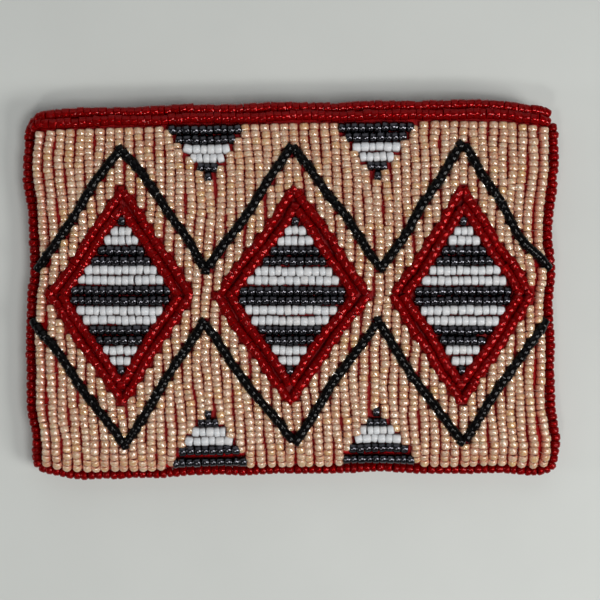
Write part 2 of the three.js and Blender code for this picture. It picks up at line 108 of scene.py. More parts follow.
# Zip, as in the part's own source
ZIP_LENGTH, ZIP_TAPE, ZIP_RECESS = 94.0, 0.9, 1.8
ZIP_CHAIN = {"width": 1.8, "thickness": 1.7}
ZIP_SLIDER = {"length": 6.0, "width": 3.2, "thickness": 2.2, "from_end": 9.0}
ZIP_PULL = {"length": 11.0, "width": 2.4, "thickness": 0.7}
ZIP_LEVEL = FRONT_FLAT_HIGH + FRONT_ROLL * math.sin(LIP_ANGLE) - ZIP_RECESS
ZIP_FLOOR = CLOTH + GAP
ZIP_CEILING = FRONT_BASE - 2 * GAP + math.sqrt(
    (FRONT_ROLL - CLOTH) ** 2 - (ZIP_LEVEL + ZIP_TAPE / 2 - FRONT_FLAT_HIGH) ** 2)
TOOTH_PITCH = 1.6
TOOTH = {"length": 0.62, "width": 0.68, "aside": 0.16}  # a share of the pitch, two of the chain's width
SLIDER_WAIST = {"depth": 0.18, "reach": 0.22}  # shares of the slider's width and length
PULL_WAIST = 0.18  # share of the pull's width that its middle lacks
TAPE_STATIONS, TAPE_SIDES, TAPE_SQUARENESS = 95, 16, 8.0
BAR_SQUARENESS = 4.0  # of the section of a tooth, slider or pull, and of the rounding at its ends
BAR_SHOULDER, BAR_TIP = 6, 0.02  # how late its ends start to shrink, and the least share left at the tip

# Beads
BEAD_PITCH = 1.62  # along a string
TAN_PITCH = 1.42  # along a string of the tan ground, whose beads are shorter
EDGE_PITCH = 1.6  # along an edging string
BEAD_UNEVEN, LEAST_BEAD, LONGEST_BEAD = 0.1, 0.75, 1.25  # spread of the beads' lengths, and its limits
RADIUS_UNEVEN = 0.04  # spread of the beads' radii
BEAD_SHIFT = 0.06  # how far single beads lie off their string
BEAD_TONES, BEAD_TINTS = (2.0, 2.4), (0.5, 2.2)  # shapes of the spreads of tone and tint
BEAD_SIDES = 10
BEAD_HEADING = 0.4  # share of the pitch to either side that a bead's direction is read over
# Kinds of bead: how full each is against the nominal radius, whether its ends are cut crisp, and its
# profile, points along the thread and out from it, as shares of half the length and of the radius
ROUND_BEAD = {"full": 1.1, "crisp": False, "profile": np.array([
    (-0.75, 0.36), (-1.02, 0.7), (-0.58, 0.98), (0.58, 0.98), (1.02, 0.7), (0.75, 0.36)])}
SLIM_BEAD = {"full": 1.01, "crisp": False, "profile": np.array([
    (-0.75, 0.36), (-1.01, 0.84), (-0.5, 0.99), (0.5, 0.99), (1.01, 0.84), (0.75, 0.36)])}
SNUG_BEAD = {"full": 1.08, "crisp": True, "profile": np.array([
    (-1.04, 0.6), (-1.0, 0.95), (-0.84, 1.0), (0.84, 1.0), (1.0, 0.95), (1.04, 0.6)])}
MOUTH_BEAD = dict(SNUG_BEAD, full=1.16)
STRIPE_BEAD = {"full": 1.1, "crisp": False, "profile": np.array([
    (-0.75, 0.36), (-1.02, 0.82), (-0.64, 1.0), (0.64, 1.0), (1.02, 0.82), (0.75, 0.36)])}

# How far beads tilt, in radians, and how much of that is up and down
BEAD_LEAN, STRIPE_LEAN, EDGE_LEAN, MOUTH_LEAN = 0.09, 0.13, 0.2, 0.1
LEAN_UPWARD = 0.6

# Strings
ZIGZAG_RISE, OUTLINE_RISE = 0.5, 0.2  # how far these strings lie above the rest
TUCK = 0.5  # how far strings of the ground run in under a zigzag
STRING_SHIFT = 0.08  # how far whole strings lie off their lines
STRING_WANDER, STRIPE_WANDER = 0.18, 0.05  # how far strings wave, and those of the stripes
SHORT_WAVE, LONG_WAVE = 11.0, 22.0  # lengths of those waves
MOUTH_CLOSE = 0.2  # how far the mouth's row is pushed up against its edging
GROUND_STEP = 0.05  # between places tested along a string of the ground
SHORTEST_RUN = 0.55  # shortest piece of such a string, in beads
LINE_STEP = 0.25  # between the points of a straight line on the cloth
CORNER_STEPS = 12  # points round a corner of the edging

# Couching stitches
STITCH_EVERY = 5  # beads from one to the next
STITCH_RADIUS, STITCH_SIDES = 0.075, 5
STITCH_SLANT = 0.22
STITCH_ARCH = np.array([  # sideways and up from the string's middle, in bead radii
    (-1.12, -0.9), (-1.0, 0.0), (-0.62, 0.66), (0.0, 0.86), (0.62, 0.66), (1.0, 0.0), (1.12, -0.9),
])

# Cloth
PANEL_COLUMNS, PANEL_ROWS = 150, 104
SEAM_LAP = 1.4  # how far the front panel laps over the back one at the seam
NORMAL_STEP = 0.05  # to either side of a place, to find a surface's normal

# Materials: scales of the noises, and depths of the bumps in metres
PATCH_SCALE, SPARKLE_RIPPLE_SCALE, FIBRE_SCALE, WEAR_SCALE, MOTTLE_SCALE = 0.12, 2600.0, 4200.0, 700.0, 35.0
WEAVE_DEPTH, RIPPLE_DEPTH, FIBRE_DEPTH = 0.00008, 0.00006, 0.00004
WARP_SHARE, WEFT_SHARE = 0.6, 0.4  # of the weave's height
TONE_SHARE, SPARKLE_SHARE, SPARKLE_START = 0.7, 1.4, 0.6  # how a bead's tone, and its pale streaks of painted sparkle, make it paler
END_SHADE, END_SHARPNESS = 0.25, 4.0  # painted shade: how much, and how near its ends, a bead is darkened where it meets the next

# Table, lamps and camera, in metres and watts
TABLE_HALF = 0.9
PURSE_MIDDLE = (0.0, 0.0, 0.005)
LAMPS = {
    "key": {"place": (0.5, -0.22, 0.5), "size": 0.24, "power": 2.5, "colour": (1.0, 0.99, 0.97)},
    "sky": {"place": (-0.05, 0.7, 0.5), "size": 1.0, "power": 1.5, "colour": (0.95, 0.98, 1.0)},
    "ceiling": {"place": (0.22, -0.09, 0.72), "size": 0.22, "power": 1.95, "colour": (1.0, 1.0, 1.0)},
    "lamp_left": {"place": (-0.1, -0.34, 0.58), "size": 0.1, "power": 0.6, "colour": (1.0, 0.98, 0.95)},
    "lamp_low": {"place": (-0.5, -0.06, 0.24), "size": 0.08, "power": 0.3, "colour": (1.0, 1.0, 1.0)},
}
ROOM_COLOUR, ROOM_STRENGTH = (0.5, 0.5, 0.52, 1.0), 0.26
LENS, NEAREST = 96.0, 0.01
CAMERA_DISTANCE, CAMERA_TILT = 0.355, math.radians(2.5)
CAMERA_TARGET = np.array([0.0017, -0.0019, 0.008])


def ease(t):
    """Three t squared less two t cubed, for t held between 0 and 1."""
    t = np.clip(t, 0.0, 1.0)
    return t * t * (3 - 2 * t)


def read_table(places, values, at):
    """Values between a table's rows, eased from each row to the next."""
    places, values = np.array(places), np.array(values)
    i = np.clip(np.searchsorted(places, at) - 1, 0, len(places) - 2)
    share = ease((at - places[i]) / (places[i + 1] - places[i]))
    return values[i] + (values[i + 1] - values[i]) * share


def roll_over(along, low, high, radius):
    """Place in plan and level of a distance along cloth that is flat from low to high, turns down round
    an arc beyond them, and runs straight on past the seam's slope."""
    past = along - np.clip(along, low, high)
    angle = np.clip(past / radius, -SEAM_ANGLE, SEAM_ANGLE)
    rest = past - radius * angle
    plan = along - past + radius * np.sin(angle) + rest * np.cos(angle)
    return plan, np.cos(angle) - np.abs(rest / radius) * math.sin(SEAM_ANGLE)


def settle(x, y):
    """The even plan with its edges pulled in and a slow sideways wave up the purse."""
    u, v = x / RIM_X, y / RIM_Y
    side = np.where(x < 0, read_table(SIDE_PULL["up"], SIDE_PULL["left"], v),
                    read_table(SIDE_PULL["up"], SIDE_PULL["right"], v))
    end = np.where(y < 0, read_table(END_PULL["across"], END_PULL["bottom"], u),
                   read_table(END_PULL["across"], END_PULL["mouth"], u))
    wander = SWAY * np.sin(2 * np.pi * y / SWAY_LENGTH + x / SWAY_SPREAD) * np.maximum(0, 1 - u * u)
    settled_x = x - np.sign(x) * side * ease((np.abs(u) - PULL_START) / (1 - PULL_START)) + wander
    settled_y = y - np.sign(y) * end * ease((np.abs(v) - PULL_START) / (1 - PULL_START))
    return settled_x, settled_y


def dent_depth(x, y):
    """The sum of the dents, each a bell of its own reach and depth."""
    return sum(
        depth * np.exp(-((x - across * RIM_X) ** 2 + (y - up * RIM_Y) ** 2) / reach ** 2)
        for across, up, reach, depth in zip(DENTS["across"], DENTS["up"], DENTS["reach"], DENTS["depth"]))


def front_surface(p, q):
    """The front panel's outer face, p across and q up along the cloth."""
    plan_x, level_x = roll_over(p, -FRONT_FLAT_X, FRONT_FLAT_X, FRONT_ROLL)
    plan_y, level_y = roll_over(q, FRONT_FLAT_LOW, FRONT_FLAT_HIGH, FRONT_ROLL)
    x, y = settle(plan_x, plan_y)
    swell = SWELL * (1 - (plan_x / RIM_X) ** 2) * (1 - (plan_y / RIM_Y) ** 2)
    z = FRONT_BASE + (FRONT_ROLL - dent_depth(x, y)) * level_x * level_y + swell
    return np.stack([x, y, z], axis=-1)


def back_surface(p, q):
    """The back panel's outer face, flat below and turned up to the seam at its edges."""
    plan_x, level_x = roll_over(p, -BACK_FLAT_X, BACK_FLAT_X, BACK_ROLL)
    plan_y, level_y = roll_over(q, BACK_FLAT_LOW, np.inf, BACK_ROLL)
    x, y = settle(plan_x, plan_y)
    return np.stack([x, y, BACK_ROLL * (1 - level_x * level_y)], axis=-1)


def unit(vectors):
    """Vectors scaled to length 1."""
    return vectors / np.linalg.norm(vectors, axis=-1, keepdims=True)


def lifted(surface, p, q, lift):
    """Points raised off a surface along its upward normal, and those normals."""
    along_p = surface(p + NORMAL_STEP, q) - surface(p - NORMAL_STEP, q)
    along_q = surface(p, q + NORMAL_STEP) - surface(p, q - NORMAL_STEP)
    normal = unit(np.cross(along_p, along_q))
    return surface(p, q) + normal * np.asarray(lift)[..., None], normal


def make_piece(name, points, faces, materials, face_material=None, smooth=True, uv=None, **attributes):
    """An object from whole arrays: points in millimetres, face arrays by corner count, values by point."""
    mesh = bpy.data.meshes.new(name)
    corners = np.concatenate([f.ravel() for f in faces]).astype(np.int32)
    counts = np.concatenate([np.full(len(f), f.shape[1]) for f in faces])
    starts = np.concatenate([[0], np.cumsum(counts)[:-1]]).astype(np.int32)
    mesh.vertices.add(len(points))
    mesh.vertices.foreach_set("co", (np.asarray(points) * MM).astype(np.float32).ravel())
    mesh.loops.add(len(corners))
    mesh.loops.foreach_set("vertex_index", corners)
    mesh.polygons.add(len(counts))
    mesh.polygons.foreach_set("loop_start", starts)
    mesh.polygons.foreach_set("use_smooth", np.broadcast_to(smooth, len(counts)).astype(bool))
    for material in materials:
        mesh.materials.append(material)
    if face_material is not None:
        mesh.polygons.foreach_set("material_index", np.asarray(face_material, np.int32))
    if uv is not None:
        layer = mesh.uv_layers.new(name="cloth")
        layer.data.foreach_set("uv", uv[corners].astype(np.float32).ravel())
    for key, values in attributes.items():
        mesh.attributes.new(key, "FLOAT", "POINT").data.foreach_set("value", values.astype(np.float32))
    mesh.update()
    mesh.validate()
    piece = bpy.data.objects.new(name, mesh)
    bpy.context.scene.collection.objects.link(piece)
    return piece


# Materials

class Signal:
    """An output in a material's node tree. Sums written with it add Math nodes to that tree."""

    def __init__(self, graph, socket):
        self.graph, self.socket = graph, socket

    def __add__(self, other):
        return self.graph.math("ADD", self, other)

    def __sub__(self, other):
        return self.graph.math("SUBTRACT", self, other)

    def __rsub__(self, other):
        return self.graph.math("SUBTRACT", other, self)

    def __mul__(self, other):
        return self.graph.math("MULTIPLY", self, other)

    def __truediv__(self, other):
        return self.graph.math("DIVIDE", self, other)

    def __rtruediv__(self, other):
        return self.graph.math("DIVIDE", other, self)

    def __pow__(self, other):
        return self.graph.math("POWER", self, other)

    def __rpow__(self, other):
        return self.graph.math("POWER", other, self)

    __radd__ = __add__
    __rmul__ = __mul__


class Graph:
    """A material and the nodes that feed its Principled shader."""

    def __init__(self, name, **constants):
        self.material = bpy.data.materials.new(name)
        self.material.use_nodes = True
        self.tree = self.material.node_tree
        self.shader = self.tree.nodes["Principled BSDF"]
        for socket, value in constants.items():
            self.shader.inputs[socket.replace("_", " ")].default_value = value

    def node(self, kind, settings, output=0, **sockets):
        """A node with its settings, fed by socket name, or by i and a number for a socket's place."""
        node = self.tree.nodes.new(kind)
        for key, value in settings.items():
            setattr(node, key, value)
        for key, value in sockets.items():
            name = key.replace("_", " ")
            self.feed(node.inputs[int(name[1:]) if name[1:].isdigit() else name], value)
        return Signal(self, node.outputs[output])

    def feed(self, socket, value):
        """Links a signal into a socket, or sets the socket's own value."""
        if isinstance(value, Signal):
            self.tree.links.new(value.socket, socket)
        else:
            socket.default_value = value

    def math(self, operation, first, second=0.0):
        """A Math node's answer for two numbers or signals."""
        return self.node("ShaderNodeMath", {"operation": operation}, i0=first, i1=second)

    def attribute(self, name):
        """A value that the piece carries at its points."""
        return self.node("ShaderNodeAttribute", {"attribute_name": name}, output=2)

    def mix(self, share, low, high):
        """A colour between two, by a share from 0 to 1."""
        settings = {"data_type": "RGBA", "clamp_factor": True}
        return self.node("ShaderNodeMix", settings, output=2, i0=share, i6=low, i7=high)

    def noise(self, vector, scale, detail):
        """Soft noise from 0 to 1 over a place."""
        return self.node("ShaderNodeTexNoise", {}, Vector=vector, Scale=scale, Detail=detail)

    def bump(self, height, distance, strength):
        """The normal of a skin that a height raises by up to a distance."""
        return self.node("ShaderNodeBump", {}, Height=height, Distance=distance, Strength=strength)

    def shade(self, **inputs):
        """Feeds the shader's inputs, and gives the finished material."""
        for socket, value in inputs.items():
            self.feed(self.shader.inputs[socket.replace("_", " ")], value)
        return self.material


def srgb(red, green, blue):
    """A colour given as screen values from 0 to 255, as linear light."""
    value = np.array([red, green, blue]) / 255
    linear = np.where(value <= 0.04045, value / 12.92, ((value + 0.055) / 1.055) ** 2.4)
    return (*linear, 1.0)


def cloth_material(name, deep, bright, pitch):
    """Satin weave: warp and weft ribs of a pitch in millimetres, with slow patches of colour and wear."""
    g = Graph(name, Specular_IOR_Level=0.2, Sheen_Weight=0.04, Sheen_Roughness=0.4)
    uv = g.node("ShaderNodeUVMap", {"uv_map": "cloth"})
    axes = g.node("ShaderNodeSeparateXYZ", {}, Vector=uv)
    across = axes
    up = Signal(g, axes.socket.node.outputs[1])
    turn = 2 * math.pi / pitch
    warp = g.math("SINE", across * turn) * 0.5 + 0.5
    weft = g.math("SINE", up * (turn / 3) + across * (turn / 2)) * 0.5 + 0.5
    weave = warp * WARP_SHARE + weft * WEFT_SHARE
    patches = g.noise(uv, PATCH_SCALE, 3.0)
    colour = g.mix(weave * 0.5 + patches * 0.5, deep, bright)
    return g.shade(Base_Color=colour, Roughness=0.62 - weave * 0.2,
                   Normal=g.bump(weave, WEAVE_DEPTH, 0.6))


def bead_material(name, deep, body, pale, accent, roughness, ripple, low=0.07, high=0.73, **constants):
    """Glass beads with painted shade: each is darkened towards the deep colour at the low share of its
    height, where it faces the cloth, and towards its ends, where it meets the next bead, and is clear of
    that from the high share up; the tan's deep colour is pinkish, a painted glow of the red cloth through
    the glass. Each bead lies between body and pale by its own tone and towards an accent by its own tint,
    with pale streaks of painted sparkle and a rippled skin."""
    g = Graph(name, **constants)
    tone, tint = g.attribute("tone"), g.attribute("tint")
    height, end = g.attribute("height"), g.attribute("end")
    place = g.node("ShaderNodeTexCoord", {}, output=3)
    # One noise ripples the skin, and in the colour it paints pale streaks of sparkle inside the glass
    sparkle_and_ripple = g.noise(place, SPARKLE_RIPPLE_SCALE, 2.0)
    paler = tone * TONE_SHARE + sparkle_and_ripple * SPARKLE_SHARE - SPARKLE_START
    glass = g.mix(tint, g.mix(paler, body, pale), accent)
    # Painted shade under each bead and where it meets its neighbours, and in the tan a painted pink glow of
    # the cloth
    clear_of_shade = (height - low) / (high - low) - end ** END_SHARPNESS * END_SHADE
    return g.shade(Base_Color=g.mix(clear_of_shade, deep, glass), Roughness=roughness + tone * 0.1,
                   Normal=g.bump(sparkle_and_ripple, RIPPLE_DEPTH, ripple))


RED_CLOTH = cloth_material("red_cloth", srgb(136, 1, 5), srgb(196, 6, 14), 0.42)
ZIP_TAPE_CLOTH = cloth_material("zip_tape", srgb(70, 6, 9), srgb(120, 14, 17), 0.6)
# Each bead material's first colour is painted shade for its underside and ends; the tan's, pinkish, is also
# a painted glow of the red cloth through the glass
TAN = bead_material("tan_beads", srgb(196, 118, 97), srgb(176, 135, 103), srgb(208, 183, 156),
                    srgb(194, 152, 94), 0.3, 0.08, low=0.56, high=0.94, Specular_IOR_Level=0.0,
                    Coat_Weight=1.0, Coat_Roughness=0.1, Coat_IOR=2.25, Subsurface_Weight=0.8,
                    Subsurface_Scale=0.0014, Subsurface_Radius=(1.0, 0.6, 0.45))
RED = bead_material("red_beads", srgb(104, 0, 0), srgb(114, 0, 1), srgb(130, 1, 2),
                    srgb(118, 0, 3), 0.05, 0.2, Metallic=0.36, Specular_IOR_Level=0.0,
                    Coat_Weight=0.22, Coat_Roughness=0.03, Subsurface_Weight=0.8,
                    Subsurface_Scale=0.002, Subsurface_Radius=(1.0, 0.1, 0.1))
GUNMETAL = bead_material("gunmetal_beads", srgb(4, 4, 5), srgb(55, 54, 58), srgb(83, 82, 88),
                         srgb(57, 57, 63), 0.03, 0.03, Metallic=1.0, Coat_Weight=0.3, Coat_Roughness=0.04)
WHITE = bead_material("white_beads", srgb(108, 96, 95), srgb(197, 199, 201), srgb(207, 209, 211),
                      srgb(202, 201, 200), 0.34, 0.1, low=0.64, high=0.86, Coat_Weight=0.15,
                      Coat_Roughness=0.15, Subsurface_Weight=0.5, Subsurface_Scale=0.001,
                      Subsurface_Radius=(1.0, 0.9, 0.85))
BLACK = bead_material("black_beads", srgb(2, 1, 1), srgb(4, 3, 3), srgb(6, 5, 5),
                      srgb(5, 4, 4), 0.03, 0.02, Specular_IOR_Level=0.14)


def thread_material():
    """Tan twisted thread with a fibrous skin."""
    g = Graph("thread", Roughness=0.7, Sheen_Weight=0.3)
    place = g.node("ShaderNodeTexCoord", {}, output=3)
    fibre = g.noise(place, FIBRE_SCALE, 3.0)
    return g.shade(Base_Color=g.mix(fibre, srgb(160, 96, 78), srgb(204, 158, 132)),
                   Normal=g.bump(fibre, FIBRE_DEPTH, 0.5))


THREAD = thread_material()


def metal_material():
    """Brushed brass of the zip's teeth and slider, duller where it is handled."""
    g = Graph("zip_metal", Metallic=1.0)
    place = g.node("ShaderNodeTexCoord", {}, output=3)
    wear = g.noise(place, WEAR_SCALE, 4.0)
    return g.shade(Base_Color=g.mix(wear, srgb(150, 112, 58), srgb(206, 170, 104)),
                   Roughness=0.24 + wear * 0.3)


ZIP_METAL = metal_material()


# Strings of beads

def along_string(path, normals, pitch):
    """Beads of uneven length that fill a path from end to end: their middles, directions, normals and
    half lengths."""
    steps = np.linalg.norm(np.diff(path, axis=0), axis=1)
    length = np.concatenate([[0.0], np.cumsum(steps)])
    count = max(1, round(length[-1] / pitch))
    share = np.clip(RNG.normal(1.0, BEAD_UNEVEN, count), LEAST_BEAD, LONGEST_BEAD)
    share = share / share.sum() * length[-1]
    at = np.cumsum(share) - share / 2

    def sample(values, places):
        """Values at places along the string, straight between its points."""
        return np.stack([np.interp(places, length, column) for column in values.T], axis=-1)

    reach = BEAD_HEADING * pitch
    ahead = sample(path, np.minimum(at + reach, length[-1])) - sample(path, np.maximum(at - reach, 0.0))
    return sample(path, at), unit(ahead), unit(sample(normals, at)), share / 2


def ring_faces(rings, sides, closed):
    """Four-cornered faces between rings of points, round every ring, and from the last to the first if
    closed."""
    ring, side = np.meshgrid(np.arange(rings if closed else rings - 1), np.arange(sides), indexing="ij")
    after, beside = (ring + 1) % rings, (side + 1) % sides
    return np.stack([ring * sides + side, ring * sides + beside,
                     after * sides + beside, after * sides + side], axis=-1).reshape(-1, 4)


def end_caps(rings, sides):
    """The faces that close a tube's first and last ring, both turned outwards."""
    return np.stack([np.arange(sides)[::-1], np.arange(sides) + (rings - 1) * sides])


def copies(faces, count, each):
    """One shape's faces repeated for a number of copies of its points."""
    return (faces[None] + (np.arange(count) * each)[:, None, None]).reshape(-1, faces.shape[1])


class Strings:
    """Strings of one motif's beads, gathered one after another and then made into one piece."""

    stitches = []  # every string's couching stitches: middles, directions and normals

    def __init__(self):
        self.centres, self.axes, self.normals, self.halves, self.kinds = [], [], [], [], []

    def add(self, p, q, kind=0, lift=MID_LAYER, pitch=BEAD_PITCH, wander=STRING_WANDER, couched=False):
        """A string along points p, q of the front's cloth, wandering a little from side to side."""
        path, normals = lifted(front_surface, p, q, lift)
        centres, axes, ups, halves = along_string(path, normals, pitch)
        phase, wave = RNG.uniform(0, 2 * np.pi), RNG.uniform(SHORT_WAVE, LONG_WAVE)
        run = np.arange(len(centres)) * pitch
        drift = RNG.normal(0, STRING_SHIFT) + wander * np.sin(2 * np.pi * run / wave + phase)
        drift = drift + RNG.normal(0, BEAD_SHIFT, len(centres))
        centres = centres + np.cross(ups, axes) * drift[:, None]
        centres = centres + ups * RNG.normal(0, BEAD_SHIFT, len(centres))[:, None]
        self.centres.append(centres)
        self.axes.append(axes)
        self.normals.append(ups)
        self.halves.append(halves)
        self.kinds.append(np.full(len(centres), kind))
        held = np.arange(RNG.integers(1, STITCH_EVERY), len(centres) - 1, STITCH_EVERY)
        if couched and len(held):
            joints = (centres[held] + centres[held + 1]) / 2
            Strings.stitches.append(np.stack([joints, axes[held], ups[held]]))

    def make(self, name, materials, node, slot, bead=ROUND_BEAD, lean=BEAD_LEAN):
        """All the beads as one piece: drilled barrels with their own sizes, leans and tones."""
        centre, axis, normal = (np.concatenate(x) for x in (self.centres, self.axes, self.normals))
        half, kind = np.concatenate(self.halves), np.concatenate(self.kinds)
        count = len(centre)
        across = unit(np.cross(normal, axis))
        axis = unit(axis + across * RNG.normal(0, lean, count)[:, None]
                    + normal * RNG.normal(0, lean * LEAN_UPWARD, count)[:, None])
        across = unit(np.cross(normal, axis))
        up = np.cross(axis, across)
        radius = BEAD_RADIUS * bead["full"] * RNG.normal(1.0, RADIUS_UNEVEN, count)
        turn = np.arange(BEAD_SIDES) * 2 * np.pi / BEAD_SIDES
        spin = RNG.uniform(0, 2 * np.pi, count)[:, None] + turn
        out = np.cos(spin)[..., None] * up[:, None] + np.sin(spin)[..., None] * across[:, None]
        share_along, share_out = bead["profile"].T
        points = (centre[:, None, None]
                  + (half[:, None] * share_along)[:, :, None, None] * axis[:, None, None]
                  + (radius[:, None] * share_out)[:, :, None, None] * out[:, None])
        one = ring_faces(len(share_along), BEAD_SIDES, closed=True)
        each = len(share_along) * BEAD_SIDES
        # A point's height across the bead and its nearness to the ends, which the bead materials darken
        # into painted shade
        height = 0.5 + 0.5 * share_out[None, :, None] * np.cos(spin)[:, None]
        end = np.broadcast_to(np.abs(share_along)[None, :, None], height.shape)
        tone = np.repeat(RNG.beta(*BEAD_TONES, count), each)
        tint = np.repeat(RNG.beta(*BEAD_TINTS, count), each)
        barrel = np.arange(len(one)) // BEAD_SIDES == len(share_along) // 2 - 1
        piece = make_piece(name, points.reshape(-1, 3), [copies(one, count, each)], materials,
                           face_material=np.repeat(kind, len(one)),
                           smooth=np.tile(barrel | (not bead["crisp"]), count),
                           tone=tone, tint=tint, height=height.ravel(), end=end.ravel())
        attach(piece, "root")
        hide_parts(node)


def make_stitches():
    """Couching stitches: thin threads that arch over the strings between two beads, each a little
    aslant."""
    joint, axis, normal = (np.concatenate(x) for x in zip(*Strings.stitches))
    count = len(joint)
    across = unit(np.cross(normal, axis))
    slant = RNG.normal(0, STITCH_SLANT, count)
    sideways, up = STITCH_ARCH.T * BEAD_RADIUS
    path = (joint[:, None] + sideways[None, :, None] * across[:, None]
            + up[None, :, None] * normal[:, None]
            + (slant[:, None] * sideways)[:, :, None] * axis[:, None])
    heading = unit(np.gradient(path, axis=1))
    beside = np.broadcast_to(axis[:, None], heading.shape)
    outward = unit(np.cross(heading, beside))
    beside = np.cross(outward, heading)
    turn = np.arange(STITCH_SIDES) * 2 * np.pi / STITCH_SIDES
    points = (path[:, :, None] + STITCH_RADIUS * (
        np.cos(turn)[:, None] * outward[:, :, None] + np.sin(turn)[:, None] * beside[:, :, None]))
    rings = len(STITCH_ARCH)
    tube = ring_faces(rings, STITCH_SIDES, closed=False)
    caps = end_caps(rings, STITCH_SIDES)
    each = rings * STITCH_SIDES
    piece = make_piece("couching_stitches", points.reshape(-1, 3),
                       [copies(tube, count, each), copies(caps, count, each)], [THREAD])
    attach(piece, "root")


def diamond_distance(p, q):
    """How far a place on the cloth lies outside the nearest diamond's outer edge, square to its side."""
    away = np.min(np.abs(np.asarray(p)[..., None] - DIAMOND_CENTRES), axis=-1)
    share = away / DIAMOND_HALF_WIDTH + np.abs(q - FIELD_MIDDLE) / DIAMOND_HALF_HEIGHT - 1
    return share * DIAMOND_HALF_WIDTH * DIAMOND_HALF_HEIGHT / DIAMOND_SIDE


def in_triangle(p, q):
    """Whether a place on the cloth lies in one of the border triangles."""
    depth = np.minimum(FIELD_HIGH - q, q - FIELD_LOW)
    away = np.min(np.abs(np.asarray(p)[..., None] - np.array(list(VALLEYS.values()))), axis=-1)
    return away < (TRIANGLE_ROWS * ROW_PITCH - depth) * TRIANGLE_SLOPE


def line(start, end):
    """Points p, q evenly along a straight line on the cloth."""
    steps = max(2, int(np.hypot(end[0] - start[0], end[1] - start[1]) / LINE_STEP) + 1)
    return np.linspace(start[0], end[0], steps), np.linspace(start[1], end[1], steps)


def polyline(corners):
    """Points p, q along straight lines from corner to corner."""
    parts = [line(a, b) for a, b in zip(corners[:-1], corners[1:])]
    return tuple(np.concatenate([part[i] for part in parts]) for i in (0, 1))


def make_ground():
    """Upright tan strings, broken where a motif stands, in the three fields that the zigzags part. Every
    place along a string is given its field's number, or 0 where a motif stands."""
    fields = {"upper": Strings(), "middle": Strings(), "lower": Strings()}
    columns = round(2 * FIELD_P / ROW_PITCH)
    q = np.arange(FIELD_LOW, FIELD_HIGH, GROUND_STEP)
    for p in ((np.arange(columns) + 0.5) / columns * 2 - 1) * FIELD_P:
        outside = diamond_distance(p, q)
        half = np.where(q > FIELD_MIDDLE, 1, 3)
        field = np.where(outside > ZIGZAG_OUT - TUCK, half, np.where(outside > ZIGZAG_IN + TUCK, 0, 2))
        field = np.where((outside < -TUCK / 2) | in_triangle(p, q), 0, field)
        breaks = np.flatnonzero(np.diff(field)) + 1
        for run in np.split(np.arange(len(q)), breaks):
            kind = field[run[0]]
            if kind and len(run) * GROUND_STEP > SHORTEST_RUN * TAN_PITCH:
                strings = list(fields.values())[kind - 1]
                strings.add(np.full(len(run), p), q[run], pitch=TAN_PITCH, couched=True)
    for name, strings in fields.items():
        strings.make(f"ground_{name}_beads", [TAN], f"ground_{name}", "tan_beads", bead=SLIM_BEAD)


def diamond_halves(outside):
    """Half the width and half the height of a diamond whose sides lie a distance outside the outline's
    outer edge: each grows by the distance over the sine of the angle between it and a side."""
    return (DIAMOND_HALF_WIDTH + outside * DIAMOND_SIDE / DIAMOND_HALF_HEIGHT,
            DIAMOND_HALF_HEIGHT + outside * DIAMOND_SIDE / DIAMOND_HALF_WIDTH)


def diamond_corners(centre, outside):
    """The four corners of such a diamond, and the first again."""
    half_width, half_height = diamond_halves(outside)
    return [(centre + half_width, FIELD_MIDDLE), (centre, FIELD_MIDDLE + half_height),
            (centre - half_width, FIELD_MIDDLE), (centre, FIELD_MIDDLE - half_height),
            (centre + half_width, FIELD_MIDDLE)]


def make_diamonds():
    """Each diamond: two red strings round it, and level pairs of gunmetal and white strings inside."""
    half_width, half_height = diamond_halves(-OUTLINE_ROWS * ROW_PITCH)
    rows = int(half_height / ROW_PITCH)
    for name, centre in zip(DIAMOND_NAMES, DIAMOND_CENTRES):
        outline, stripes = Strings(), Strings()
        for row in range(OUTLINE_ROWS):
            outline.add(*polyline(diamond_corners(centre, -(row + 0.5) * ROW_PITCH)),
                        lift=MID_LAYER + OUTLINE_RISE)
        for row in range(-rows, rows):
            away = (row + 0.5) * ROW_PITCH
            reach = half_width * (1 - abs(away) / half_height)
            white = int((abs(away) / ROW_PITCH + 1) / 2) % 2
            q = FIELD_MIDDLE + away
            stripes.add(*line((centre - reach, q), (centre + reach, q)), kind=white, wander=STRIPE_WANDER)
        outline.make(f"diamond_{name}_outline_beads", [RED], f"diamond_{name}_outline", "red_beads",
                     bead=SNUG_BEAD)
        stripes.make(f"diamond_{name}_stripe_beads", [GUNMETAL, WHITE], f"diamond_{name}_stripes",
                     "striped_beads", bead=STRIPE_BEAD, lean=STRIPE_LEAN)


def make_zigzags():
    """One black string above and one below the diamonds, a little proud of the rest."""
    peak = diamond_halves((ZIGZAG_IN + ZIGZAG_OUT) / 2)[1]
    valley = peak - DIAMOND_PITCH / 2 * DIAMOND_HALF_HEIGHT / DIAMOND_HALF_WIDTH
    corners = np.arange(2 * len(DIAMOND_NAMES) + 1)
    across = (corners - len(DIAMOND_NAMES)) * DIAMOND_PITCH / 2
    heights = np.where(corners % 2, peak, valley)
    for name, side in (("upper", 1), ("lower", -1)):
        strings = Strings()
        strings.add(*polyline(list(zip(across, FIELD_MIDDLE + side * heights))),
                    lift=MID_LAYER + ZIGZAG_RISE)
        strings.make(f"zigzag_{name}_beads", [BLACK], f"zigzag_{name}", "black_beads",
                     bead=SNUG_BEAD)


